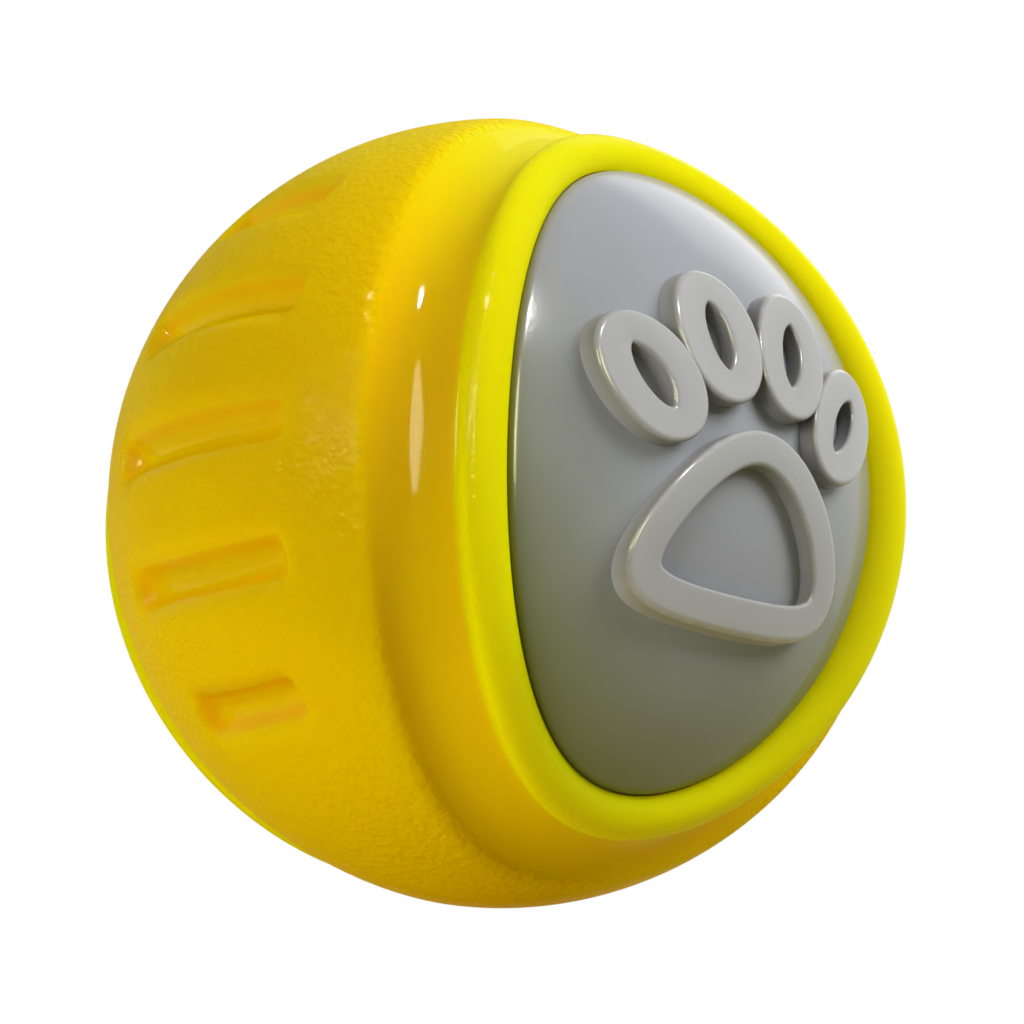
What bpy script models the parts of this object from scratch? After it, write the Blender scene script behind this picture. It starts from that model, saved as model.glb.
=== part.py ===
"""Squeaky dog ball with two sprung press pads, modelled piece by piece.

A one-piece soft jacket has an oval, lipped window at each side. A domed pad fills
each window and slides in along X. Behind it a plate squeezes a bellows, which blows
through a reed plug, and a ring carrier holds both squeakers at the middle.

Frame: origin at the centre of the ball, +X out of the right pad, +Z along the long
axis of the windows. Units are metres.
"""
import math

import bmesh
import bpy
from mathutils import Matrix

MM = 0.001

# Ball jacket
BALL_RADIUS = 38.0 * MM
JACKET_WALL = 5.5 * MM
CLEARANCE = 0.3 * MM

# Oval window, the raised lip around it and the neck channel around the lip
WINDOW_HALF_WIDTH = 22.1 * MM
WINDOW_BRIDGE = 43.8 * MM
LIP_WIDTH = 5.3 * MM
LIP_RISE_AT_SIDES = 1.0 * MM
LIP_RISE_AT_ENDS = 0.1 * MM
LIP_FOOT_DEPTH = 2.4 * MM
NECK_WIDTH = 9.3 * MM
NECK_DEPTH_AT_SIDES = 2.6 * MM
NECK_DEPTH_AT_ENDS = 1.8 * MM

# Grip slots, in a row on the front and on the back
SLOTS_PER_ROW = 5
SLOT_PITCH = 13.3 * MM
SLOT_LONGEST = 25.2 * MM
SLOT_WIDTH = 4.4 * MM
SLOT_DEPTH = 2.0 * MM
SLOT_ROUND = 1.0 * MM

# Press pad
PRESS_TRAVEL = 3.0 * MM
PAD_RECESS = 2.1 * MM
PAD_WALL = 3.5 * MM
PAD_EDGE_ROUND = 1.0 * MM
PAD_RIM_WIDTH = 4.5 * MM
PAD_FLANGE_OVERLAP = 3.4 * MM
PAD_FLANGE_THICKNESS = 2.2 * MM
PAD_BOSS_RADIUS = 7.0 * MM
PAD_BOSS_HEIGHT = 6.0 * MM

# Raised paw print on the pad
PAW_RIB_WIDTH = 2.3 * MM
PAW_RIB_HEIGHT = 2.5 * MM
PAW_HEEL_HALF_WIDTH = 10.5 * MM
PAW_HEEL_HALF_HEIGHT = 7.5 * MM
PAW_HEEL_PEAK = 1.3 * MM
PAW_HEEL_TAPER = 0.2
PAW_HEEL_DROP = 9.0 * MM
PAW_TOE_HALF_WIDTH = 2.8 * MM
PAW_TOE_HALF_HEIGHT = 4.9 * MM
PAW_TOE_REACH = 14.5 * MM
PAW_TOE_HUB_DROP = 4.0 * MM
PAW_TOE_ANGLES = (-53.0, -18.0, 18.0, 53.0)
PAW_TOE_LEAN = 0.6

# Pad plate
PLATE_THICKNESS = 2.0 * MM
STUD_RADIUS = 3.0 * MM
STUD_LENGTH = 3.5 * MM
COLLAR_RADIUS = 11.0 * MM
COLLAR_WALL = 1.5 * MM
COLLAR_LENGTH = 5.0 * MM

# Bellows and the clip rings on its cuffs
BELLOWS_WALL = 1.0 * MM
BELLOWS_FOLDS = 3
BELLOWS_FOLD_DEPTH = 3.2 * MM
CLIP_WIDTH = 2.5 * MM
CLIP_WALL = 1.4 * MM

# Carrier ring and its groove in the jacket
CARRIER_WIDTH = 6.0 * MM
CARRIER_GROOVE_DEPTH = 1.0 * MM
CARRIER_RIM_WALL = 3.2 * MM
CARRIER_HUB_WALL = 4.7 * MM
SPOKE_COUNT = 4
SPOKE_WIDTH = 5.0 * MM
SPOKE_THICKNESS = 4.0 * MM

# Squeaker barrel
BARREL_LENGTH = 9.8 * MM
BARREL_WALL = 1.5 * MM
BARREL_FLANGE_OVERHANG = 3.0 * MM
BARREL_FLANGE_THICKNESS = 1.5 * MM
BARREL_MEETING_GAP = 0.4 * MM
BARREL_MOUTH_RADIUS = 4.8 * MM

# Reed plug, reed and rivet
PLUG_HEAD_RADIUS = 7.2 * MM
PLUG_HEAD_THICKNESS = 2.4 * MM
PLUG_STEM_LENGTH = 4.0 * MM
AIR_SLOT_LENGTH = 5.4 * MM
AIR_SLOT_WIDTH = 1.6 * MM
REED_LENGTH = 11.0 * MM
REED_WIDTH = 3.0 * MM
REED_THICKNESS = 0.3 * MM
REED_COVER = 1.1 * MM
RIVET_RADIUS = 0.6 * MM
RIVET_LENGTH = 1.9 * MM
RIVET_HEAD_RADIUS = 1.3 * MM
RIVET_HEAD_THICKNESS = 0.7 * MM
RIVET_EDGE_MARGIN = 2.0 * MM

# Fineness of the surfaces
AZIMUTH_STEPS = 40
TURN_STEPS = 20
SMALL_TURN_STEPS = 12
RIB_STEPS = 20
LIP_STEPS = 7
NECK_STEPS = 6
BAND_STEPS = 3
DOME_STEPS = 5
TANGENT_STEP = 0.01
WELD = 0.001 * MM

# Sizes that follow from the ones above
INNER_RADIUS = BALL_RADIUS - JACKET_WALL
LIP_FOOT_RADIUS = BALL_RADIUS - LIP_FOOT_DEPTH
WINDOW_HALF_HEIGHT = LIP_FOOT_RADIUS * math.cos(WINDOW_BRIDGE / 2 / BALL_RADIUS)
GROOVE_RADIUS = INNER_RADIUS + CARRIER_GROOVE_DEPTH
GROOVE_HALF_WIDTH = CARRIER_WIDTH / 2 + CLEARANCE
DOME_RADIUS = BALL_RADIUS - PAD_RECESS
PAD_INNER_RADIUS = DOME_RADIUS - PAD_WALL
FLANGE_TOP_RADIUS = INNER_RADIUS - CLEARANCE
FLANGE_BASE_RADIUS = FLANGE_TOP_RADIUS - PAD_FLANGE_THICKNESS
FLANGE_LOWEST_X = CARRIER_WIDTH / 2 + PRESS_TRAVEL + CLEARANCE
BOSS_FACE_X = PAD_INNER_RADIUS - PAD_BOSS_HEIGHT
PLATE_TOP_X = BOSS_FACE_X - CLEARANCE
PLATE_BASE_X = PLATE_TOP_X - PLATE_THICKNESS
PLATE_RADIUS = WINDOW_HALF_WIDTH - CLEARANCE - PAD_RIM_WIDTH - CLEARANCE
COLLAR_END_X = PLATE_BASE_X - COLLAR_LENGTH
BARREL_START_X = BARREL_MEETING_GAP / 2
BARREL_END_X = BARREL_START_X + BARREL_LENGTH
BARREL_FLANGE_BASE_X = CARRIER_WIDTH / 2 + CLEARANCE
BARREL_FLANGE_TOP_X = BARREL_FLANGE_BASE_X + BARREL_FLANGE_THICKNESS
CUFF_INNER_RADIUS = COLLAR_RADIUS + CLEARANCE
CUFF_OUTER_RADIUS = CUFF_INNER_RADIUS + BELLOWS_WALL
BELLOWS_START_X = BARREL_FLANGE_TOP_X + CLEARANCE
BELLOWS_END_X = PLATE_BASE_X - CLEARANCE
PLUG_HEAD_BASE_X = BARREL_END_X + CLEARANCE
PLUG_HEAD_TOP_X = PLUG_HEAD_BASE_X + PLUG_HEAD_THICKNESS
PLUG_STEM_RADIUS = BARREL_MOUTH_RADIUS - CLEARANCE
REED_BASE_X = PLUG_HEAD_TOP_X + CLEARANCE
REED_TOP_X = REED_BASE_X + REED_THICKNESS
REED_TOP_Z = PLUG_HEAD_RADIUS - CLEARANCE
REED_TIP_Z = REED_TOP_Z - REED_LENGTH
RIVET_Z = PLUG_HEAD_RADIUS - RIVET_EDGE_MARGIN
RIVET_HOLE_RADIUS = RIVET_RADIUS + CLEARANCE
RIVET_HEAD_BASE_X = REED_TOP_X + CLEARANCE
RIVET_HEAD_TOP_X = RIVET_HEAD_BASE_X + RIVET_HEAD_THICKNESS
RIVET_TIP_X = RIVET_HEAD_BASE_X - RIVET_LENGTH


def clear_scene():
    for obj in list(bpy.data.objects):
        bpy.data.objects.remove(obj, do_unlink=True)


def new_collection(name):
    collection = bpy.data.collections.new(name)
    bpy.context.scene.collection.children.link(collection)
    return collection


clear_scene()
PARTS = new_collection("dog_ball")
CUTTERS = new_collection("dog_ball_cutters")


def new_material(name, colour, roughness, metallic=0.0):
    material = bpy.data.materials.new(name)
    material.use_nodes = True
    shader = material.node_tree.nodes["Principled BSDF"]
    shader.inputs["Base Color"].default_value = (*colour, 1.0)
    shader.inputs["Roughness"].default_value = roughness
    shader.inputs["Metallic"].default_value = metallic
    return material


YELLOW_RUBBER = new_material("yellow_rubber", (0.62, 0.42, 0.0), 0.3)
GREY_RUBBER = new_material("grey_rubber", (0.36, 0.36, 0.38), 0.4)
WHITE_PLASTIC = new_material("white_plastic", (0.78, 0.78, 0.75), 0.5)
BLACK_PLASTIC = new_material("black_plastic", (0.03, 0.03, 0.03), 0.5)
CLEAR_VINYL = new_material("clear_vinyl", (0.7, 0.66, 0.55), 0.35)
BRASS = new_material("brass", (0.62, 0.42, 0.15), 0.3, 1.0)
STEEL = new_material("steel", (0.55, 0.56, 0.58), 0.35, 1.0)


def add_part(name, mesh, material, parent=None):
    obj = bpy.data.objects.new(name, mesh)
    if not mesh.materials:
        mesh.materials.append(material)
    obj.parent = parent
    PARTS.objects.link(obj)
    return obj


def add_cutter(name, mesh, parent=None):
    obj = bpy.data.objects.new(name, mesh)
    obj.parent = parent
    obj.display_type = "WIRE"
    obj.hide_render = True
    CUTTERS.objects.link(obj)
    return obj


def combine(obj, operation, other):
    modifier = obj.modifiers.new(f"{operation.lower()} {other.name}", "BOOLEAN")
    modifier.operation = operation
    modifier.solver = "EXACT"
    modifier.object = other


def finish_mesh(bm, name):
    bmesh.ops.remove_doubles(bm, verts=bm.verts, dist=WELD)
    bmesh.ops.recalc_face_normals(bm, faces=bm.faces)
    mesh = bpy.data.meshes.new(name)
    bm.to_mesh(mesh)
    bm.free()
    mesh.shade_smooth()
    mesh.set_sharp_from_angle(angle=math.radians(35))
    return mesh


def bridge(bm, rows, profile_is_closed):
    """Join each row of vertices to the next one, and the last row to the first."""
    count = len(rows[0])
    bands = count if profile_is_closed else count - 1
    for row, following in zip(rows, rows[1:] + rows[:1]):
        for k in range(bands):
            after = (k + 1) % count
            bm.faces.new((row[k], row[after], following[after], following[k]))


def swept_mesh(name, profile_at, profile_is_closed):
    """Surface around X from one (x, distance from X) profile for each azimuth."""
    bm = bmesh.new()
    rows = []
    for step in range(AZIMUTH_STEPS):
        phi = math.tau * step / AZIMUTH_STEPS
        points = [(x, rho * math.cos(phi), rho * math.sin(phi)) for x, rho in profile_at(phi)]
        rows.append([bm.verts.new(point) for point in points])
    bridge(bm, rows, profile_is_closed)
    return finish_mesh(bm, name)


def turned_mesh(name, profile):
    """Line of (x, radius) points, from the outer end of a turned piece to its inner end."""
    mesh = bpy.data.meshes.new(name)
    points = [(x, radius, 0.0) for x, radius in profile]
    edges = [(k, k + 1) for k in range(len(points) - 1)]
    starts_on_axis = profile[0][1] == 0.0
    if not starts_on_axis:
        edges.append((len(points) - 1, 0))
    mesh.from_pydata(points, edges, [])
    return mesh


def turn(obj, steps=TURN_STEPS):
    screw = obj.modifiers.new("turn", "SCREW")
    screw.axis = "X"
    screw.steps = steps
    screw.render_steps = steps
    screw.use_merge_vertices = True
    screw.merge_threshold = WELD
    return obj


def box_mesh(name, size, centre):
    bm = bmesh.new()
    bmesh.ops.create_cube(bm, size=1.0, matrix=Matrix.Translation(centre) @ Matrix.Diagonal((*size, 1.0)))
    return finish_mesh(bm, name)


def rod_mesh(name, radius, x_low, x_high, z):
    """Round rod along X."""
    bm = bmesh.new()
    place = Matrix.Translation(((x_low + x_high) / 2, 0.0, z)) @ Matrix.Rotation(math.pi / 2, 4, "Y")
    bmesh.ops.create_cone(bm, cap_ends=True, segments=SMALL_TURN_STEPS, radius1=radius,
                          radius2=radius, depth=x_high - x_low, matrix=place)
    return finish_mesh(bm, name)


def on_sphere(radius, rho):
    """Point of a profile on a sphere about the ball's centre, at a distance from X."""
    return math.sqrt(radius * radius - rho * rho), rho


def at_angle(radius, theta):
    """Point of a profile at a radius from the ball's centre and an angle from +X."""
    return radius * math.cos(theta), radius * math.sin(theta)


def spread(start, end, count):
    """Evenly spaced values after start, up to and with end."""
    return [start + (end - start) * (k + 1) / count for k in range(count)]


def window_rho(phi):
    """Distance of the window's oval wall from X."""
    across = math.cos(phi) / WINDOW_HALF_WIDTH
    along = math.sin(phi) / WINDOW_HALF_HEIGHT
    return 1.0 / math.hypot(across, along)


def between_ends_and_sides(phi, at_ends, at_sides):
    """Size that changes smoothly around the window, from its long axis to its short one."""
    return at_ends + (at_sides - at_ends) * math.cos(phi) ** 2


def lip_and_neck(phi):
    """Outer line of the jacket from the window's edge over lip and neck to the middle of the ball."""
    rise = between_ends_and_sides(phi, LIP_RISE_AT_ENDS, LIP_RISE_AT_SIDES)
    depth = between_ends_and_sides(phi, NECK_DEPTH_AT_ENDS, NECK_DEPTH_AT_SIDES)
    edge = math.asin(window_rho(phi) / LIP_FOOT_RADIUS)
    bead = rise + (LIP_FOOT_DEPTH + depth) / 2
    points = []
    for k in range(LIP_STEPS + 1):
        t = math.pi * k / LIP_STEPS
        share = (1.0 - math.cos(t)) / 2
        chord = -LIP_FOOT_DEPTH + (LIP_FOOT_DEPTH - depth) * share
        height = chord + bead * math.sin(t)
        points.append(at_angle(BALL_RADIUS + height, edge + LIP_WIDTH * share / BALL_RADIUS))
    foot = edge + LIP_WIDTH / BALL_RADIUS
    shoulder = min(foot + NECK_WIDTH / BALL_RADIUS, math.pi / 2 - GROOVE_HALF_WIDTH / BALL_RADIUS)
    for share in spread(0.0, 1.0, NECK_STEPS):
        height = -depth * (1.0 + math.cos(math.pi * share)) / 2
        points.append(at_angle(BALL_RADIUS + height, foot + (shoulder - foot) * share))
    for theta in spread(shoulder, math.pi / 2, BAND_STEPS):
        points.append(at_angle(BALL_RADIUS, theta))
    return points


def jacket_profile(phi):
    """Closed section of the jacket wall from the right window to the left one and back inside."""
    outer = lip_and_neck(phi)
    mirrored = [(-x, rho) for x, rho in reversed(outer[:-1])]
    bore_base = math.asin(window_rho(phi) / INNER_RADIUS)
    groove_edge = math.acos(GROOVE_HALF_WIDTH / INNER_RADIUS)
    inner = [at_angle(INNER_RADIUS, bore_base)]
    inner += [at_angle(INNER_RADIUS, theta) for theta in spread(bore_base, groove_edge, 3)]
    inner.append((GROOVE_HALF_WIDTH, GROOVE_RADIUS))
    left_inner = [(-x, rho) for x, rho in inner]
    return outer + mirrored + left_inner + inner[::-1]


def slot_cutter_mesh(length):
    """Curved bar on the front of the ball, bent about Z along the ball's surface."""
    half_angle = length / 2 / BALL_RADIUS
    floor = BALL_RADIUS - SLOT_DEPTH
    top = BALL_RADIUS + SLOT_DEPTH
    half = SLOT_WIDTH / 2
    corners = [(floor, -half), (top, -half), (top, half), (floor, half)]
    bm = bmesh.new()
    start = [bm.verts.new((-r * math.sin(half_angle), -r * math.cos(half_angle), z)) for r, z in corners]
    face = bm.faces.new(start)
    bmesh.ops.spin(bm, geom=[face, *face.edges, *face.verts], cent=(0.0, 0.0, 0.0), axis=(0.0, 0.0, 1.0),
                   angle=2 * half_angle, steps=6)
    return finish_mesh(bm, "slot_cutter")


def build_jacket():
    """Jacket with two rows of grip slots, whose ends lie on an oval."""
    jacket = add_part("outer_jacket", swept_mesh("outer_jacket", jacket_profile, True), YELLOW_RUBBER)
    pitch = SLOT_PITCH / BALL_RADIUS
    for row, turn_about_x in (("front", 0.0), ("back", math.pi)):
        for k in range(SLOTS_PER_ROW):
            place = k - (SLOTS_PER_ROW - 1) / 2
            oval_share = math.sqrt(1.0 - (2 * place / SLOTS_PER_ROW) ** 2)
            cutter = add_cutter(f"slot_{row}_{k + 1}", slot_cutter_mesh(SLOT_LONGEST * oval_share))
            cutter.rotation_euler.x = turn_about_x + pitch * place
            rounding = cutter.modifiers.new("rounding", "BEVEL")
            rounding.width = SLOT_ROUND
            rounding.segments = 2
            rounding.limit_method = "ANGLE"
            rounding.angle_limit = math.radians(40)
            combine(jacket, "DIFFERENCE", cutter)


def pad_profile(phi):
    """Section of the pad from the middle of its dome, round its flange, to the middle of its boss."""
    side = window_rho(phi) - CLEARANCE
    dome_edge = side - PAD_EDGE_ROUND
    points = [on_sphere(DOME_RADIUS, rho) for rho in [0.0] + spread(0.0, dome_edge, DOME_STEPS)]
    dome_edge_x = points[-1][0]
    corner_x = on_sphere(DOME_RADIUS, side)[0]
    wall_x = corner_x - PAD_EDGE_ROUND
    for t in spread(0.0, 1.0, 3):
        x = (1 - t) ** 2 * dome_edge_x + 2 * t * (1 - t) * corner_x + t * t * wall_x
        rho = side - PAD_EDGE_ROUND * (1 - t) ** 2
        points.append((x, rho))
    flange_root = math.asin(side / FLANGE_TOP_RADIUS)
    flange_end = min(flange_root + PAD_FLANGE_OVERLAP / FLANGE_TOP_RADIUS,
                     math.acos(FLANGE_LOWEST_X / FLANGE_BASE_RADIUS))
    points += [at_angle(FLANGE_TOP_RADIUS, flange_root), at_angle(FLANGE_TOP_RADIUS, flange_end)]
    rim = side - PAD_RIM_WIDTH
    rim_angle = math.asin(rim / FLANGE_BASE_RADIUS)
    points.append(at_angle(FLANGE_BASE_RADIUS, flange_end))
    points += [at_angle(FLANGE_BASE_RADIUS, theta) for theta in spread(flange_end, rim_angle, 2)]
    points += [on_sphere(PAD_INNER_RADIUS, rho) for rho in [rim] + spread(rim, PAD_BOSS_RADIUS, 3)]
    stud_hole = STUD_RADIUS + CLEARANCE
    hole_end_x = BOSS_FACE_X + STUD_LENGTH
    points += [(BOSS_FACE_X, PAD_BOSS_RADIUS), (BOSS_FACE_X, stud_hole)]
    points += [(hole_end_x, stud_hole), (hole_end_x, 0.0)]
    return points


def heel_outline(t):
    """Middle line of the heel rib as (y, z), a rounded triangle with its peak upwards."""
    y = PAW_HEEL_HALF_WIDTH * math.cos(t) * (1.0 - PAW_HEEL_TAPER * math.sin(t))
    z = PAW_HEEL_HALF_HEIGHT * math.sin(t) - PAW_HEEL_PEAK * math.cos(2 * t)
    return y, z - PAW_HEEL_DROP


def toe_outline(angle):
    """Middle line of one toe's rib, an oval that leans outwards."""
    centre_y = PAW_TOE_REACH * math.sin(angle)
    centre_z = PAW_TOE_REACH * math.cos(angle) - PAW_TOE_HUB_DROP
    lean = PAW_TOE_LEAN * angle

    def outline(t):
        across = PAW_TOE_HALF_WIDTH * math.cos(t)
        along = PAW_TOE_HALF_HEIGHT * math.sin(t)
        y = centre_y + across * math.cos(lean) + along * math.sin(lean)
        z = centre_z - across * math.sin(lean) + along * math.cos(lean)
        return y, z

    return outline


def rib_mesh(name, outline):
    """Closed rib of square section whose top lies on a sphere and whose foot is inside the pad."""
    top = DOME_RADIUS + PAW_RIB_HEIGHT
    foot = DOME_RADIUS - PAD_WALL / 2
    half = PAW_RIB_WIDTH / 2
    bm = bmesh.new()
    rows = []
    for step in range(RIB_STEPS):
        t = math.tau * step / RIB_STEPS
        before = outline(t - TANGENT_STEP)
        after = outline(t + TANGENT_STEP)
        length = math.dist(before, after)
        normal = ((after[1] - before[1]) / length, (before[0] - after[0]) / length)
        y, z = outline(t)
        row = []
        for radius, offset in ((foot, half), (top, half), (top, -half), (foot, -half)):
            point_y = y + offset * normal[0]
            point_z = z + offset * normal[1]
            x = math.sqrt(radius * radius - point_y * point_y - point_z * point_z)
            row.append(bm.verts.new((x, point_y, point_z)))
        rows.append(row)
    bridge(bm, rows, True)
    return finish_mesh(bm, name)


def paw_ribs():
    meshes = [rib_mesh("paw_heel", heel_outline)]
    for number, degrees in enumerate(PAW_TOE_ANGLES, 1):
        meshes.append(rib_mesh(f"paw_toe_{number}", toe_outline(math.radians(degrees))))
    return meshes


def plate_profile():
    bore = COLLAR_RADIUS - COLLAR_WALL
    return [
        (PLATE_TOP_X + STUD_LENGTH, 0.0),
        (PLATE_TOP_X + STUD_LENGTH, STUD_RADIUS),
        (PLATE_TOP_X, STUD_RADIUS),
        (PLATE_TOP_X, PLATE_RADIUS),
        (PLATE_BASE_X, PLATE_RADIUS),
        (PLATE_BASE_X, COLLAR_RADIUS),
        (COLLAR_END_X, COLLAR_RADIUS),
        (COLLAR_END_X, bore),
        (PLATE_BASE_X, bore),
        (PLATE_BASE_X, 0.0),
    ]


def bellows_profile():
    """Folded tube between two plain cuffs."""
    folds_start = BARREL_END_X
    folds_end = COLLAR_END_X
    half_pitch = (folds_end - folds_start) / (2 * BELLOWS_FOLDS)
    outer = [(BELLOWS_END_X, CUFF_OUTER_RADIUS)]
    for k in range(2 * BELLOWS_FOLDS + 1):
        rise = BELLOWS_FOLD_DEPTH if k % 2 else 0.0
        outer.append((folds_end - k * half_pitch, CUFF_OUTER_RADIUS + rise))
    outer.append((BELLOWS_START_X, CUFF_OUTER_RADIUS))
    inner = [(x, radius - BELLOWS_WALL) for x, radius in reversed(outer)]
    return outer + inner


def clip_profile(cuff_start_x, cuff_end_x):
    middle = (cuff_start_x + cuff_end_x) / 2
    bore = CUFF_OUTER_RADIUS + CLEARANCE
    return ring_profile(middle - CLIP_WIDTH / 2, middle + CLIP_WIDTH / 2, bore, bore + CLIP_WALL)


def ring_profile(x_low, x_high, bore, radius):
    return [(x_high, radius), (x_low, radius), (x_low, bore), (x_high, bore)]


def barrel_profile():
    bore = COLLAR_RADIUS - BARREL_WALL
    flange = COLLAR_RADIUS + BARREL_FLANGE_OVERHANG
    mouth_base_x = BARREL_END_X - BARREL_WALL
    return [
        (BARREL_END_X, BARREL_MOUTH_RADIUS),
        (BARREL_END_X, COLLAR_RADIUS),
        (BARREL_FLANGE_TOP_X, COLLAR_RADIUS),
        (BARREL_FLANGE_TOP_X, flange),
        (BARREL_FLANGE_BASE_X, flange),
        (BARREL_FLANGE_BASE_X, COLLAR_RADIUS),
        (BARREL_START_X, COLLAR_RADIUS),
        (BARREL_START_X, bore),
        (mouth_base_x, bore),
        (mouth_base_x, BARREL_MOUTH_RADIUS),
    ]


def plug_profile():
    stem_end_x = PLUG_HEAD_BASE_X - PLUG_STEM_LENGTH
    return [
        (PLUG_HEAD_TOP_X, 0.0),
        (PLUG_HEAD_TOP_X, PLUG_HEAD_RADIUS),
        (PLUG_HEAD_BASE_X, PLUG_HEAD_RADIUS),
        (PLUG_HEAD_BASE_X, PLUG_STEM_RADIUS),
        (stem_end_x, PLUG_STEM_RADIUS),
        (stem_end_x, 0.0),
    ]


def rivet_profile():
    return [
        (RIVET_HEAD_TOP_X, 0.0),
        (RIVET_HEAD_TOP_X, RIVET_HEAD_RADIUS),
        (RIVET_HEAD_BASE_X, RIVET_HEAD_RADIUS),
        (RIVET_HEAD_BASE_X, RIVET_RADIUS),
        (RIVET_TIP_X, RIVET_RADIUS),
        (RIVET_TIP_X, 0.0),
    ]


def reed_mesh():
    """Thin strip that is riveted at its upper end and lies over the air slot."""
    centre = ((REED_BASE_X + REED_TOP_X) / 2, 0.0, (REED_TOP_Z + REED_TIP_Z) / 2)
    return box_mesh("reed", (REED_THICKNESS, REED_WIDTH, REED_LENGTH), centre)


def air_slot_mesh():
    """Cutter for the slot through the plug, which the tip of the reed covers."""
    plug_length = PLUG_STEM_LENGTH + PLUG_HEAD_THICKNESS
    centre = (PLUG_HEAD_TOP_X - plug_length / 2, 0.0, REED_TIP_Z + REED_COVER + AIR_SLOT_LENGTH / 2)
    return box_mesh("air_slot", (2 * plug_length, AIR_SLOT_WIDTH, AIR_SLOT_LENGTH), centre)


def rivet_hole_mesh():
    return rod_mesh("rivet_hole", RIVET_HOLE_RADIUS, RIVET_TIP_X - CLEARANCE, RIVET_HEAD_BASE_X, RIVET_Z)


def build_carrier():
    """Rim in the jacket's groove, hub around the barrels, and spokes between them."""
    rim_radius = GROOVE_RADIUS - CLEARANCE
    rim_bore = rim_radius - CARRIER_RIM_WALL
    hub_bore = COLLAR_RADIUS + CLEARANCE
    hub_radius = hub_bore + CARRIER_HUB_WALL
    half = CARRIER_WIDTH / 2
    rim = turned_mesh("carrier", ring_profile(-half, half, rim_bore, rim_radius))
    carrier = turn(add_part("carrier", rim, BLACK_PLASTIC), AZIMUTH_STEPS)
    hub = turned_mesh("carrier_hub", ring_profile(-half, half, hub_bore, hub_radius))
    combine(carrier, "UNION", turn(add_cutter("carrier_hub", hub)))
    overlap = min(CARRIER_RIM_WALL, CARRIER_HUB_WALL) / 2
    spoke_start = hub_radius - overlap
    spoke_end = rim_bore + overlap
    spoke = box_mesh("spoke", (SPOKE_THICKNESS, SPOKE_WIDTH, spoke_end - spoke_start),
                     (0.0, 0.0, (spoke_start + spoke_end) / 2))
    for k in range(SPOKE_COUNT):
        arm = add_cutter(f"spoke_{k + 1}", spoke)
        arm.rotation_euler.x = math.tau * (k + 0.5) / SPOKE_COUNT
        combine(carrier, "UNION", arm)


def new_empty(name, turn_about_z):
    empty = bpy.data.objects.new(name, None)
    empty.rotation_euler.z = turn_about_z
    PARTS.objects.link(empty)
    return empty


def build_sides():
    """The two press pads and squeakers, the left set turned half round about Z."""
    pad = swept_mesh("press_pad", pad_profile, False)
    ribs = paw_ribs()
    plate = turned_mesh("pad_plate", plate_profile())
    outer_clip = turned_mesh("outer_clip", clip_profile(COLLAR_END_X, BELLOWS_END_X))
    bellows = turned_mesh("bellows", bellows_profile())
    inner_clip = turned_mesh("inner_clip", clip_profile(BELLOWS_START_X, BARREL_END_X))
    barrel = turned_mesh("squeaker_barrel", barrel_profile())
    plug = turned_mesh("reed_plug", plug_profile())
    reed = reed_mesh()
    rivet = turned_mesh("reed_rivet", rivet_profile())
    air_slot = air_slot_mesh()
    rivet_hole = rivet_hole_mesh()

    for side, turn_about_z in (("right", 0.0), ("left", math.pi)):
        slide = new_empty(f"{side}_pad_slide", turn_about_z)
        pad_object = add_part(f"press_pad_{side}", pad, GREY_RUBBER, slide)
        for rib in ribs:
            combine(pad_object, "UNION", add_cutter(f"{rib.name}_{side}", rib, slide))
        turn(add_part(f"pad_plate_{side}", plate, WHITE_PLASTIC, slide))
        turn(add_part(f"outer_clip_{side}", outer_clip, BLACK_PLASTIC, slide))

        squeaker = new_empty(f"{side}_squeaker", turn_about_z)
        turn(add_part(f"bellows_{side}", bellows, CLEAR_VINYL, squeaker))
        turn(add_part(f"inner_clip_{side}", inner_clip, BLACK_PLASTIC, squeaker))
        turn(add_part(f"squeaker_barrel_{side}", barrel, WHITE_PLASTIC, squeaker))
        plug_object = turn(add_part(f"reed_plug_{side}", plug, WHITE_PLASTIC, squeaker))
        combine(plug_object, "DIFFERENCE", add_cutter(f"air_slot_{side}", air_slot, squeaker))
        hole = add_cutter(f"rivet_hole_{side}", rivet_hole, squeaker)
        combine(plug_object, "DIFFERENCE", hole)
        combine(add_part(f"reed_{side}", reed, BRASS, squeaker), "DIFFERENCE", hole)
        rivet_object = add_part(f"reed_rivet_{side}", rivet, STEEL, squeaker)
        rivet_object.location.z = RIVET_Z
        turn(rivet_object, SMALL_TURN_STEPS)


build_jacket()
build_carrier()
build_sides()
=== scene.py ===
"""Looks of a squeaky dog ball: a glossy, grained yellow jacket around two satin grey press pads."""
import math

import bmesh
import bpy
from mathutils import Matrix, Vector


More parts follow.
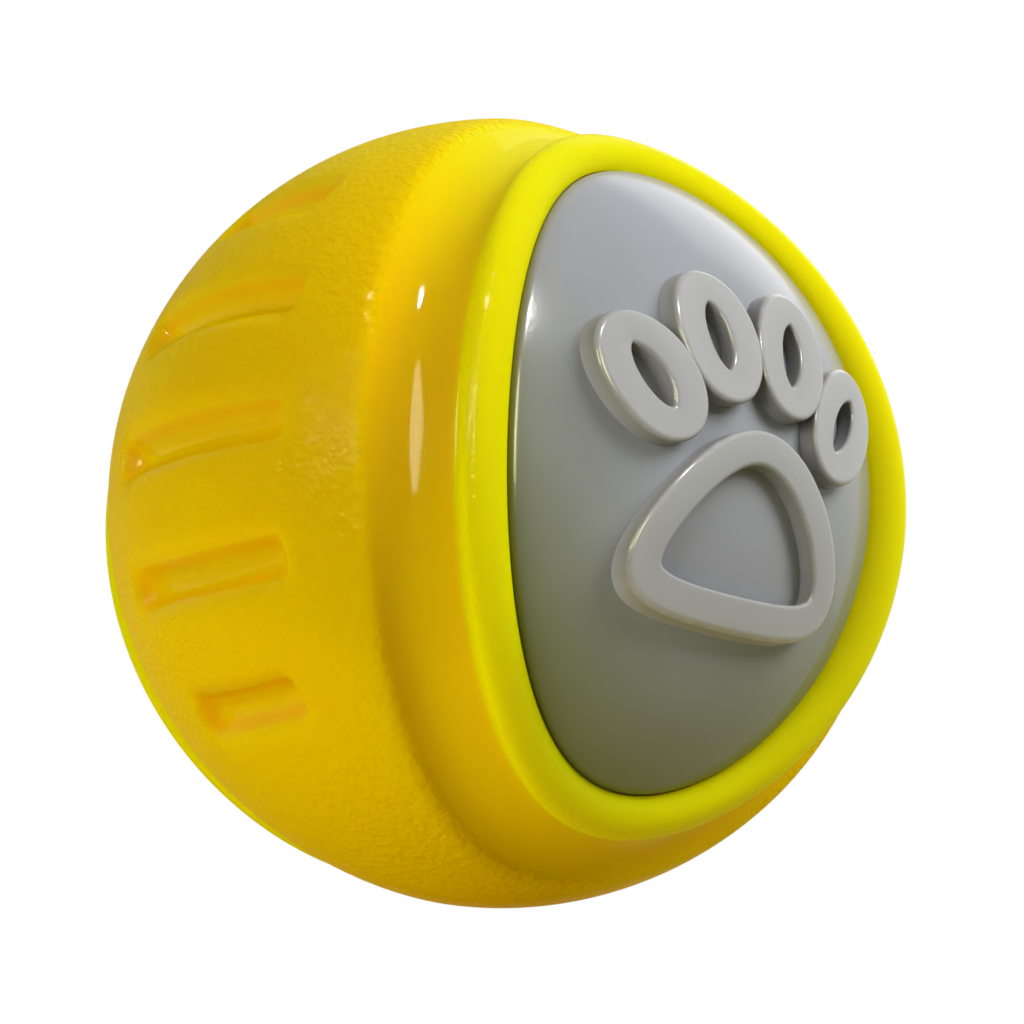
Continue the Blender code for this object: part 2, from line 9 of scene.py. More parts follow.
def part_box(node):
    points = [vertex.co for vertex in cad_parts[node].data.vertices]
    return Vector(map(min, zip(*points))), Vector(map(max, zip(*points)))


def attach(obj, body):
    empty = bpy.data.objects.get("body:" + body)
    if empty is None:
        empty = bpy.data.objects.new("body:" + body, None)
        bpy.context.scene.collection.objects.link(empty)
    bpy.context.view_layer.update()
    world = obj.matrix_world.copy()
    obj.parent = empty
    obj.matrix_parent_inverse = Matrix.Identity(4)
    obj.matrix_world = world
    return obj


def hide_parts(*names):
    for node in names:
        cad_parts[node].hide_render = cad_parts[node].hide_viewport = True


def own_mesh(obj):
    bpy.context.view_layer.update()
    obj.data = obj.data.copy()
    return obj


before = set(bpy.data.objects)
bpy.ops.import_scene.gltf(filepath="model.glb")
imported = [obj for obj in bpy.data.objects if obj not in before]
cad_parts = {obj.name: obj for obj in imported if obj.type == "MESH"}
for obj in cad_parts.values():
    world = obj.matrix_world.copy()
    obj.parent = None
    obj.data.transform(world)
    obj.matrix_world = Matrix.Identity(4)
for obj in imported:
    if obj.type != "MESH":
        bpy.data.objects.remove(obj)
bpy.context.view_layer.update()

# Camera
# A long lens, a little below the middle of the ball, looks at the right pad and the front row of slots.
# The picture is taken to be square, and the ball's centre and radius in it are given in its pixels.
ball_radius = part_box("outer_jacket")[1].z
picture_pixels = 1024
centre_pixel = (501.4, 513.3)
radius_pixels = 395.0
camera_distance_in_radii = 12.0
camera_turn = math.radians(38.7)
camera_rise = math.radians(-14.1)
camera_roll = math.radians(2.7)

camera_side = Vector((math.cos(camera_turn), -math.sin(camera_turn), 0.0)) * math.cos(camera_rise)
camera_side.z = math.sin(camera_rise)
level_right = Vector((0.0, 0.0, 1.0)).cross(camera_side).normalized()
camera_right = Matrix.Rotation(camera_roll, 3, camera_side) @ level_right
camera_up = camera_side.cross(camera_right)

camera_data = bpy.data.cameras.new("camera")
focal_pixels = radius_pixels * math.sqrt(camera_distance_in_radii ** 2 - 1)
camera_data.lens = focal_pixels / picture_pixels * camera_data.sensor_width
camera_data.shift_x = (picture_pixels / 2 - centre_pixel[0]) / picture_pixels
camera_data.shift_y = (centre_pixel[1] - picture_pixels / 2) / picture_pixels
camera = bpy.data.objects.new("camera", camera_data)
camera_place = Matrix((camera_right, camera_up, camera_side)).transposed().to_4x4()
camera_place.translation = camera_side * camera_distance_in_radii * ball_radius
camera.matrix_world = camera_place
bpy.context.scene.collection.objects.link(camera)
bpy.context.scene.camera = camera


# Ball jacket
# One moulding of soft glossy yellow rubber, about 5.5 mm thick, with a lipped oval window at each side.
# The mould gives it a leather grain on the band and the lips, and a polish in the necks and grip slots.
# Its yellow has shade painted into it: amber in the necks and on the band, lemon on the lip and at the lit
# top.
MM = 0.001
window_half_width = 22.1 * MM
window_half_height = 29.85 * MM
jacket_inner_radius = 32.5 * MM
groove_radius = 33.5 * MM
groove_half_width = 3.3 * MM
lip_foot_depth = 2.4 * MM
lip_crest = 2.7 * MM
lip_end = 5.1 * MM
lip_squareness = 2.6
lip_fillet = 0.6 * MM
lip_rise_at_sides = 1.0 * MM
lip_rise_at_ends = 0.1 * MM
neck_bottom = 7.9 * MM
neck_end = 13.4 * MM
neck_dish_share = 0.07
neck_depth_at_sides = 2.9 * MM
neck_depth_at_ends = 1.8 * MM
shoulder_softness = 0.5 * MM
shoulder_fade = 16.0 * MM
grain_on_crest = 0.1
grain_on_lip = 0.4
grain_starts_on_lip = 2.6 * MM
grain_ends_on_lip = 4.9 * MM
grain_starts_on_band = 12.9 * MM
mark_fade = 0.8 * MM
# Shares of amber painted into the yellow as shade: in the neck at its sides, at its lit top and at its
# shaded bottom, and on the band at the window's sides and ends.
neck_shade_amber_at_sides = 0.72
neck_shade_amber_at_top = 0.05
neck_shade_amber_at_bottom = 0.5
band_shade_amber_at_sides = 0.66
band_shade_amber_at_ends = 0.42
slots_per_row = 5
slot_pitch = math.tau / 18
slot_longest = 25.2 * MM
slot_width = 4.6 * MM
slot_depth = 2.0 * MM
slot_rim = 0.5 * MM
slot_end_ramp = 1.8 * MM


def window_rho(phi):
    """Distance of the window's oval wall from the X axis."""
    return 1.0 / math.hypot(math.cos(phi) / window_half_width, math.sin(phi) / window_half_height)


def around_window(phi, at_ends, at_sides):
    """Size that changes smoothly from the long axis of the window to its short one."""
    return at_ends + (at_sides - at_ends) * math.cos(phi) ** 2


def steps(count):
    """Even shares after 0, up to and with 1."""
    return [(k + 1) / count for k in range(count)]


def fade(value, middle):
    """0 well below the middle, 1 well above it, smooth between."""
    share = min(1.0, max(0.0, (value - middle) / mark_fade + 0.5))
    return share * share * (3 - 2 * share)


def neck_height(distance, depth):
    """Height of the neck: it sinks a little from the lip to its bottom, and climbs to a soft shoulder."""
    if distance < neck_bottom:
        share = (neck_bottom - distance) / (neck_bottom - lip_end)
        return -depth * (1 - neck_dish_share * share * share)
    share = (distance - neck_bottom) / (neck_end - neck_bottom)
    sunk = depth * (1 - share ** 3)
    return -shoulder_softness * math.log1p(math.exp(sunk / shoulder_softness))


def jacket_outline(phi):
    """Distances from the window's edge and heights over the ball, out to past the neck's shoulder."""
    rise = around_window(phi, lip_rise_at_ends, lip_rise_at_sides)
    depth = around_window(phi, neck_depth_at_ends, neck_depth_at_sides)
    outline = [(0.0, -lip_foot_depth)]
    for share in steps(12):
        turn = share * math.pi / 2
        height = (rise + lip_foot_depth) * math.sin(turn) - lip_foot_depth
        outline.append((lip_crest * (1 - math.cos(turn)), height))
    lip_end_height = neck_height(lip_end, depth)
    face_width = lip_end - lip_fillet - lip_crest
    face_drop = rise - lip_fillet - lip_end_height
    for share in steps(16):
        turn = share * math.pi / 2
        across = abs(math.sin(turn)) ** (2 / lip_squareness)
        down = 1 - abs(math.cos(turn)) ** (2 / lip_squareness)
        outline.append((lip_crest + face_width * across, rise - face_drop * down))
    for share in steps(5):
        turn = share * math.pi / 2
        across = lip_end - lip_fillet * math.cos(turn)
        outline.append((across, lip_end_height + lip_fillet * (1 - math.sin(turn))))
    for share in steps(28):
        distance = lip_end + (shoulder_fade - lip_end) * share
        outline.append((distance, neck_height(distance, depth)))
    return outline


def jacket_section(phi):
    """Closed section of the wall as (x, distance from X, grain, amber) points, from the right lip; the
    amber mark is painted shade.
    """
    rho = window_rho(phi)
    # Painted shade: the neck is amber, lemon at its lit top and deeper amber at its shaded bottom; the band
    # is amber and the lip stays lemon.
    neck_shade_amber_at_end = neck_shade_amber_at_top if math.sin(phi) > 0 else neck_shade_amber_at_bottom
    neck_shade_amber = around_window(phi, neck_shade_amber_at_end, neck_shade_amber_at_sides)
    band_shade_amber = around_window(phi, band_shade_amber_at_ends, band_shade_amber_at_sides)
    edge = math.asin(rho / (ball_radius - lip_foot_depth))
    half = []
    for distance, height in jacket_outline(phi):
        angle = edge + distance / ball_radius
        radius = ball_radius + height
        on_lip = grain_on_crest + (grain_on_lip - grain_on_crest) * fade(distance, grain_starts_on_lip)
        grain = on_lip * (1 - fade(distance, grain_ends_on_lip)) + fade(distance, grain_starts_on_band)
        on_band = fade(distance, neck_end)
        amber = neck_shade_amber * fade(distance, lip_end) * (1 - on_band) + band_shade_amber * on_band
        half.append((radius * math.cos(angle), radius * math.sin(angle), grain, amber))
    band_angle = edge + shoulder_fade / ball_radius
    for share in steps(52):
        angle = band_angle + (math.pi / 2 - band_angle) * share
        half.append((ball_radius * math.cos(angle), ball_radius * math.sin(angle), 1.0, band_shade_amber))
    bore_x = math.sqrt(jacket_inner_radius ** 2 - rho ** 2)
    inside = [(groove_half_width, groove_radius, 0.0, 1.0)]
    for share in [0.0] + steps(5):
        x = groove_half_width + (bore_x - groove_half_width) * share
        inside.append((x, math.sqrt(jacket_inner_radius ** 2 - x * x), 0.0, 1.0))
    left_half = [(-x, *rest) for x, *rest in half[-2::-1]]
    left_inside = [(-x, *rest) for x, *rest in reversed(inside)]
    return half + left_half + left_inside + inside


def jacket_columns():
    """Azimuths about X, closer together across each place of a slot."""
    half_slot = slot_width / 2 / ball_radius
    offsets = [half_slot * share for share in steps(7)]
    offsets += [half_slot + (slot_pitch / 2 - half_slot) * share for share in steps(4)]
    columns = []
    for place in range(round(math.tau / slot_pitch)):
        columns.append(place * slot_pitch)
        columns += [place * slot_pitch + offset for offset in offsets]
        columns += [place * slot_pitch - offset for offset in offsets[:-1]]
    return sorted(angle % math.tau for angle in columns)


def closed_loft(name, columns, section_at, mark_names):
    """Mesh round X from closed sections of (x, distance from X, marks), with the marks as attributes."""
    bm = bmesh.new()
    layers = [bm.verts.layers.float.new(mark) for mark in mark_names]
    rings = []
    for phi in columns:
        ring = []
        for x, rho, *marks in section_at(phi):
            vertex = bm.verts.new((x, rho * math.cos(phi), rho * math.sin(phi)))
            for layer, mark in zip(layers, marks):
                vertex[layer] = mark
            ring.append(vertex)
        rings.append(ring)
    count = len(rings[0])
    for ring, following in zip(rings, rings[1:] + rings[:1]):
        for k in range(count):
            after = (k + 1) % count
            bm.faces.new((ring[k], ring[after], following[after], following[k]))
    bmesh.ops.remove_doubles(bm, verts=bm.verts, dist=0.001 * MM)
    bmesh.ops.recalc_face_normals(bm, faces=bm.faces)
    mesh = bpy.data.meshes.new(name)
    bm.to_mesh(mesh)
    bm.free()
    return mesh


jacket_mesh = closed_loft("jacket", jacket_columns(), jacket_section, ("grain", "amber"))


class Term:
    """A number inside a node tree: arithmetic on it adds Math nodes."""

    def __init__(self, tree, socket):
        self.tree = tree
        self.socket = socket

    def math(self, operation, *others):
        node = self.tree.nodes.new("ShaderNodeMath")
        node.operation = operation
        for socket, value in zip(node.inputs, (self, *others)):
            plug(self.tree, value, socket)
        return Term(self.tree, node.outputs["Value"])

    def __add__(self, other):
        return self.math("ADD", other)

    def __sub__(self, other):
        return self.math("SUBTRACT", other)

    def __mul__(self, other):
        return self.math("MULTIPLY", other)

    def __truediv__(self, other):
        return self.math("DIVIDE", other)

    def __rsub__(self, other):
        return self * -1.0 + other

    def clamped(self, low=0.0, high=1.0):
        return self.math("MAXIMUM", low).math("MINIMUM", high)


def plug(tree, value, socket):
    """Link a term or an output to an input, or set the input's own value."""
    if isinstance(value, Term):
        value = value.socket
    if isinstance(value, bpy.types.NodeSocket):
        tree.links.new(value, socket)
    else:
        socket.default_value = value


def add_node(tree, kind, inputs=(), **settings):
    """Node with its settings, and with its inputs set or linked by identifier."""
    node = tree.nodes.new(kind)
    for name, value in settings.items():
        setattr(node, name, value)
    by_identifier = {socket.identifier: socket for socket in node.inputs}
    for identifier, value in dict(inputs).items():
        plug(tree, value, by_identifier[identifier])
    return node


def shape_tree(name, sizes):
    """Geometry tree with a named input for each size; gives the tree, its geometry and its terms."""
    tree = bpy.data.node_groups.new(name, "GeometryNodeTree")
    tree.interface.new_socket("Geometry", in_out="INPUT", socket_type="NodeSocketGeometry")
    tree.interface.new_socket("Geometry", in_out="OUTPUT", socket_type="NodeSocketGeometry")
    for label in sizes:
        tree.interface.new_socket(label, in_out="INPUT", socket_type="NodeSocketFloat")
    entry = tree.nodes.new("NodeGroupInput")
    terms = {label: Term(tree, entry.outputs[label]) for label in sizes}
    return tree, entry.outputs["Geometry"], terms


def end_tree(tree, geometry, material):
    """Close a geometry tree with real geometry that has the material and is smooth up to its creases."""
    crease_angle = math.radians(35.0)
    real = add_node(tree, "GeometryNodeRealizeInstances", {"Geometry": geometry})
    smooth = add_node(tree, "GeometryNodeSetShadeSmooth", {"Geometry": real.outputs["Geometry"]})
    fold = Term(tree, tree.nodes.new("GeometryNodeInputMeshEdgeAngle").outputs["Unsigned Angle"])
    creased = add_node(tree, "GeometryNodeSetShadeSmooth", {
        "Geometry": smooth.outputs["Geometry"],
        "Selection": fold.math("GREATER_THAN", crease_angle),
        "Shade Smooth": False,
    }, domain="EDGE")
    painted = add_node(tree, "GeometryNodeSetMaterial", {
        "Geometry": creased.outputs["Geometry"],
        "Material": material,
    })
    end = tree.nodes.new("NodeGroupOutput")
    tree.links.new(painted.outputs["Geometry"], end.inputs["Geometry"])


def shaped_piece(name, mesh, tree, sizes):
    """Plain mesh object from a mesh and a geometry tree with these sizes."""
    source = bpy.data.objects.new(name, mesh)
    bpy.context.scene.collection.objects.link(source)
    modifier = source.modifiers.new("shape", "NODES")
    modifier.node_group = tree
    for socket in tree.interface.items_tree:
        if socket.in_out == "INPUT" and socket.name in sizes:
            modifier[socket.identifier] = sizes[socket.name]
    evaluated = source.evaluated_get(bpy.context.evaluated_depsgraph_get())
    shaped = bpy.data.meshes.new_from_object(evaluated)
    source.modifiers.remove(modifier)
    source.data = shaped
    bpy.data.meshes.remove(mesh)
    return source


def shader_group(name, sizes, outputs):
    """Shader node group with named float inputs; gives the group, object coordinates, terms and the end."""
    group = bpy.data.node_groups.new(name, "ShaderNodeTree")
    group.interface.new_socket("Place", in_out="INPUT", socket_type="NodeSocketVector")
    for label, value in sizes.items():
        socket = group.interface.new_socket(label, in_out="INPUT", socket_type="NodeSocketFloat")
        socket.default_value = value
    for label in outputs:
        group.interface.new_socket(label, in_out="OUTPUT", socket_type="NodeSocketFloat")
    entry = group.nodes.new("NodeGroupInput")
    terms = {label: Term(group, entry.outputs[label]) for label in sizes}
    return group, entry.outputs["Place"], terms, group.nodes.new("NodeGroupOutput")


def noise(tree, place, scale, detail=2.0):
    """Smooth noise around 0.5, with a number of lumps for each metre."""
    node = add_node(tree, "ShaderNodeTexNoise", {
        "Vector": place,
        "Scale": scale,
        "Detail": detail,
    })
    return Term(tree, node.outputs["Fac"])


def moulded_grain_group():
    """Leather grain of a moulded rubber skin: soft cells of uneven size, as a height from 0 to 1."""
    group, place, terms, end = shader_group("moulded grain", {"Cells Per Metre": 1000.0}, ["Height"])
    wander_reach = 1.1 * MM
    cells = terms["Cells Per Metre"]
    wander = add_node(group, "ShaderNodeTexNoise", {"Vector": place, "Scale": cells * 0.5, "Detail": 1.0})
    shift = add_node(group, "ShaderNodeVectorMath", operation="SCALE")
    group.links.new(wander.outputs["Color"], shift.inputs["Vector"])
    shift.inputs["Scale"].default_value = wander_reach
    moved = add_node(group, "ShaderNodeVectorMath", operation="ADD")
    group.links.new(place, moved.inputs[0])
    group.links.new(shift.outputs["Vector"], moved.inputs[1])
    cell = add_node(group, "ShaderNodeTexVoronoi", {
        "Vector": moved.outputs["Vector"],
        "Scale": cells,
        "Smoothness": 0.6,
    }, feature="SMOOTH_F1")
    fine = noise(group, place, scale=cells * 2.2, detail=1.0)
    height = Term(group, cell.outputs["Distance"]) * 1.1 + fine * 0.25
    group.links.new(height.socket, end.inputs["Height"])
    return group


def specks_group():
    """Sparse dust and dirt specks, as a mask that is 1 on a speck."""
    sizes = {"Places Per Metre": 150.0, "Share": 0.1, "Size": 0.1}
    group, place, terms, end = shader_group("specks", sizes, ["Mask"])
    spot = add_node(group, "ShaderNodeTexVoronoi", {"Vector": place, "Scale": terms["Places Per Metre"]})
    split = add_node(group, "ShaderNodeSeparateColor", {"Color": spot.outputs["Color"]})
    chosen = Term(group, split.outputs["Red"]).math("LESS_THAN", terms["Share"])
    reach = terms["Size"] * (Term(group, split.outputs["Green"]) + 0.3)
    inside = (1.0 - Term(group, spot.outputs["Distance"]) / reach).math("MULTIPLY", 4.0).clamped()
    group.links.new((inside * chosen).socket, end.inputs["Mask"])
    return group


def handling_group():
    """Uneven gloss of a handled rubber skin, as a value from 0, polished, to 1, dulled."""
    group, place, terms, end = shader_group("handling", {"Patches Per Metre": 70.0}, ["Dulled"])
    patches = terms["Patches Per Metre"]
    wide = noise(group, place, scale=patches, detail=3.0)
    close = noise(group, place, scale=patches * 9.0)
    dulled = wide * 0.7 + close * 0.3
    group.links.new(dulled.socket, end.inputs["Dulled"])
    return group


moulded_grain = moulded_grain_group()
specks = specks_group()
handling = handling_group()


def new_material(name):
    """Material with its tree, its shader and object coordinates."""
    material = bpy.data.materials.new(name)
    material.use_nodes = True
    tree = material.node_tree
    place = tree.nodes.new("ShaderNodeTexCoord").outputs["Object"]
    return material, tree, tree.nodes["Principled BSDF"], place


def use_group(tree, group, place, output, **sizes):
    """Value of a shader group in a material, with its sizes as words_with_underscores."""
    node = tree.nodes.new("ShaderNodeGroup")
    node.node_tree = group
    tree.links.new(place, node.inputs["Place"])
    for label, value in sizes.items():
        plug(tree, value, node.inputs[label.replace("_", " ").title()])
    return Term(tree, node.outputs[output])


def surface_mark(tree, name):
    """Value of the mesh's own attribute."""
    node = add_node(tree, "ShaderNodeAttribute", attribute_name=name)
    return Term(tree, node.outputs["Fac"])


def mixed(tree, share, first, second):
    """Colour between two colours."""
    node = add_node(tree, "ShaderNodeMix", {"Factor_Float": share, "A_Color": first, "B_Color": second},
                    data_type="RGBA")
    return next(socket for socket in node.outputs if socket.identifier == "Result_Color")


def bumped(tree, height, depth):
    """Normal of a surface with a height from 0 to 1, which is this deep in metres."""
    node = add_node(tree, "ShaderNodeBump", {"Height": height, "Strength": 1.0, "Distance": depth})
    return node.outputs["Normal"]


def yellow_rubber():
    """Soft rubber between lemon and amber, where the amber is painted shade, under a thin gloss that
    follows the grain.
    """
    lemon = (0.84, 0.75, 0.0, 1.0)
    amber = (0.95, 0.46, 0.0, 1.0)
    dirt = (0.05, 0.035, 0.01, 1.0)
    grain_depth = 0.15 * MM
    light_reach = 6.0 * MM
    material, tree, shader, place = new_material("yellow_rubber")
    grain = surface_mark(tree, "grain")
    cloud = noise(tree, place, scale=45.0, detail=3.0)
    # Painted shade: the amber mark turns the lemon rubber amber where it would lie in shade.
    deep = (surface_mark(tree, "amber") + (cloud - 0.5) * 0.3).clamped()
    colour = mixed(tree, deep, lemon, amber)
    speck = use_group(tree, specks, place, "Mask", places_per_metre=110.0, share=0.05, size=0.03)
    plug(tree, mixed(tree, speck * 0.8, colour, dirt), shader.inputs["Base Color"])
    dulled = use_group(tree, handling, place, "Dulled", patches_per_metre=60.0)
    plug(tree, grain * 0.10 + dulled * 0.08 + 0.06, shader.inputs["Roughness"])
    cells = use_group(tree, moulded_grain, place, "Height", cells_per_metre=1350.0)
    fine = noise(tree, place, scale=5200.0)
    skin = bumped(tree, cells * grain + fine * 0.01, grain_depth)
    plug(tree, skin, shader.inputs["Normal"])
    plug(tree, skin, shader.inputs["Coat Normal"])
    shader.inputs["IOR"].default_value = 1.48
    shader.inputs["Specular IOR Level"].default_value = 0.0
    plug(tree, 0.12 - grain * 0.06, shader.inputs["Coat Weight"])
    shader.inputs["Coat Roughness"].default_value = 0.04
    shader.inputs["Subsurface Weight"].default_value = 0.5
    shader.inputs["Subsurface Radius"].default_value = (1.0, 0.5, 0.05)
    shader.inputs["Subsurface Scale"].default_value = light_reach
    return material


def store_mark(tree, geometry, name, value):
    """Geometry whose points have the value as an attribute."""
    node = add_node(tree, "GeometryNodeStoreNamedAttribute", {
        "Geometry": geometry,
        "Name": name,
        "Value": value,
    })
    return node.outputs["Geometry"]


def stored_mark(tree, name):
    """Value of an attribute that the geometry's points already have."""
    node = add_node(tree, "GeometryNodeInputNamedAttribute", {"Name": name})
    return Term(tree, node.outputs["Attribute"])


def grip_slots(material):
    """Tree that presses the two rows of slots into the band, where their ends lie on an oval, and paints
    shade amber on their walls.
    """
    outside_share = 0.97
    wall_steepness = 1.4
    polish_gain = 5.0
    shade_amber_gain = 3.4
    sizes = {
        "Ball Radius": ball_radius,
        "Slots Per Row": slots_per_row,
        "Pitch": slot_pitch,
        "Longest": slot_longest,
        "Width": slot_width,
        "Depth": slot_depth,
        "Rim": slot_rim,
        "End Ramp": slot_end_ramp,
    }
    tree, geometry, size = shape_tree("grip slots", sizes)
    position = tree.nodes.new("GeometryNodeInputPosition").outputs["Position"]
    parts = add_node(tree, "ShaderNodeSeparateXYZ", {"Vector": position})
    x, y, z = (Term(tree, parts.outputs[axis]) for axis in "XYZ")
    radius = (x * x + y * y + z * z).math("SQRT")
    azimuth = z.math("ARCTAN2", y.math("ABSOLUTE"))
    last = (size["Slots Per Row"] - 1.0) / 2.0
    place = (azimuth / size["Pitch"]).math("ROUND").math("MINIMUM", last).math("MAXIMUM", last * -1.0)
    share_of_row = place * 2.0 / size["Slots Per Row"]
    half_length = size["Longest"] / 2.0 * (1.0 - share_of_row * share_of_row).math("SQRT")
    along = ((x / radius).math("ARCSINE") * size["Ball Radius"]).math("ABSOLUTE")
    across = ((azimuth - place * size["Pitch"]) * size["Ball Radius"]).math("ABSOLUTE")
    reach = size["Width"] / 2.0 + size["Rim"]
    from_side = ((reach - across) / reach).clamped() * (math.pi / 2)
    from_end = ((half_length + size["Rim"] - along) / size["End Ramp"]).clamped() * (math.pi / 2)
    on_outside = radius.math("GREATER_THAN", size["Ball Radius"] * outside_share)
    fall = (from_side.math("SINE") * from_end.math("SINE")).math("POWER", wall_steepness) * on_outside
    keep = 1.0 - fall * size["Depth"] / radius
    pressed = add_node(tree, "ShaderNodeVectorMath", operation="SCALE")
    plug(tree, position, pressed.inputs["Vector"])
    plug(tree, keep, pressed.inputs["Scale"])
    grain = stored_mark(tree, "grain") * (1.0 - (fall * polish_gain).clamped())
    # Painted shade: the slot walls turn amber, most at the middle of their slope, and the slot floor stays
    # lighter.
    amber = stored_mark(tree, "amber").math("MAXIMUM", fall * (1.0 - fall) * shade_amber_gain)
    geometry = store_mark(tree, geometry, "grain", grain)
    geometry = store_mark(tree, geometry, "amber", amber)
    moved = add_node(tree, "GeometryNodeSetPosition", {
        "Geometry": geometry,
        "Position": pressed.outputs["Vector"],
    })
    end_tree(tree, moved.outputs["Geometry"], material)
    return tree, sizes


jacket = shaped_piece("jacket", jacket_mesh, *grip_slots(yellow_rubber()))
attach(jacket, "ball")
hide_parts("outer_jacket")


# Press pads
# A domed pad of satin grey rubber fills each window and has a flange behind the jacket's wall.
# A paw print of ribs is moulded on its face, and the plate's stud snaps into a boss at its back.
window_gap = 0.1 * MM
dome_radius = 35.9 * MM
pad_edge_round = 0.55 * MM
pad_inner_radius = 32.4 * MM
pad_rim_width = 4.5 * MM
flange_top_radius = 32.2 * MM
flange_base_radius = 30.0 * MM
flange_overlap = 3.4 * MM
flange_lowest_x = 6.3 * MM
boss_radius = 7.0 * MM
boss_face_x = 26.4 * MM
stud_hole_radius = 3.3 * MM
stud_hole_end_x = 29.9 * MM
# How far in from the window's edge the painted yellow bounce light on the pad reaches.
bounce_tint_reach = 13.0 * MM
pad_columns = 180


def on_sphere(radius, rho):
    """Point of a sphere around the ball's centre, as x and distance from X."""
    return math.sqrt(radius * radius - rho * rho), rho


def pad_section(phi):
    """Section from the dome's middle, round the flange, to the stud hole's middle, with the rim mark for
    the painted bounce light.
    """
    side = window_rho(phi) - window_gap
    dome_edge = side - pad_edge_round
    points = [on_sphere(dome_radius, dome_edge * share) for share in [0.0] + steps(30)]
    dome_edge_x = points[-1][0]
    corner_x = on_sphere(dome_radius, side)[0]
    wall_x = corner_x - pad_edge_round
    for t in steps(10):
        x = (1 - t) ** 2 * dome_edge_x + 2 * t * (1 - t) * corner_x + t * t * wall_x
        points.append((x, side - pad_edge_round * (1 - t) ** 2))
    flange_root = math.asin(side / flange_top_radius)
    flange_end = min(flange_root + flange_overlap / flange_top_radius,
                     math.acos(flange_lowest_x / flange_base_radius))
    points.append(on_sphere(flange_top_radius, side))
    points.append(on_sphere(flange_top_radius, flange_top_radius * math.sin(flange_end)))
    flange_rho = flange_base_radius * math.sin(flange_end)
    rim = side - pad_rim_width
    points += [on_sphere(flange_base_radius, flange_rho + (rim - flange_rho) * k / 4) for k in range(5)]
    points += [on_sphere(pad_inner_radius, rim + (boss_radius - rim) * k / 8) for k in range(9)]
    points += [(boss_face_x, boss_radius), (boss_face_x, stud_hole_radius)]
    points += [(stud_hole_end_x, stud_hole_radius), (stud_hole_end_x, 0.0)]
    return [(x, rho, max(0.0, 1 - max(0.0, side - rho) / bounce_tint_reach)) for x, rho in points]


def grey_rubber():
    """Satin grey rubber with painted light: yellow bounce painted low on its rim as a dark yellow-green,
    rib tops painted paler as lit and rib walls darker as shade; its rib edges are paler in patches, and it
    has specks of dust.
    """
    cool_grey = (0.355, 0.36, 0.41, 1.0)
    warm_grey = (0.335, 0.34, 0.36, 1.0)
    lit_rib_grey = (0.52, 0.515, 0.50, 1.0)
    shaded_wall_grey = (0.27, 0.26, 0.23, 1.0)
    pale_edge_grey = (0.60, 0.59, 0.57, 1.0)
    painted_bounce_tint = (0.19, 0.21, 0.07, 1.0)
    dust = (0.62, 0.61, 0.58, 1.0)
    bounce_tint_fade = 36.0 * MM
    skin_depth = 0.012 * MM
    light_reach = 1.0 * MM
    material, tree, shader, place = new_material("grey_rubber")
    cloud = noise(tree, place, scale=55.0, detail=4.0)
    colour = mixed(tree, cloud, cool_grey, warm_grey)
    # Painted bounce light: low on the pad the rim turns a dark yellow-green, as if lit by yellow light
    # thrown back from the lip.
    up = Term(tree, add_node(tree, "ShaderNodeSeparateXYZ", {"Vector": place}).outputs["Z"])
    low_on_pad = (0.45 - up / bounce_tint_fade).clamped()
    colour = mixed(tree, surface_mark(tree, "rim") * low_on_pad * 0.95, colour, painted_bounce_tint)
    # Painted shade and light: the rib walls are painted darker and warmer as shade, and the rib tops paler,
    # as if lit.
    colour = mixed(tree, surface_mark(tree, "rib_wall"), colour, shaded_wall_grey)
    colour = mixed(tree, surface_mark(tree, "rib_top"), colour, lit_rib_grey)
    # The ribs' rounded top edges are paler in patches.
    edge = surface_mark(tree, "edge")
    patchy = ((noise(tree, place, scale=900.0, detail=3.0) - 0.4) * 4.0).clamped()
    colour = mixed(tree, edge * patchy * 0.6, colour, pale_edge_grey)
    speck = use_group(tree, specks, place, "Mask", places_per_metre=420.0, share=0.10, size=0.05)
    plug(tree, mixed(tree, speck * 0.7, colour, dust), shader.inputs["Base Color"])
    dulled = use_group(tree, handling, place, "Dulled", patches_per_metre=45.0)
    plug(tree, dulled * 0.1 + speck * 0.3 + 0.15, shader.inputs["Roughness"])
    cells = use_group(tree, moulded_grain, place, "Height", cells_per_metre=2600.0)
    plug(tree, bumped(tree, cells * 0.4 + speck, skin_depth), shader.inputs["Normal"])
    shader.inputs["IOR"].default_value = 1.48
    shader.inputs["Specular IOR Level"].default_value = 0.24
    shader.inputs["Subsurface Weight"].default_value = 0.15
    shader.inputs["Subsurface Radius"].default_value = (1.0, 0.9, 0.8)
    shader.inputs["Subsurface Scale"].default_value = light_reach
    return material


def vector(tree, x, y, z):
    """Vector inside a node tree."""
    return add_node(tree, "ShaderNodeCombineXYZ", {"X": x, "Y": y, "Z": z}).outputs["Vector"]


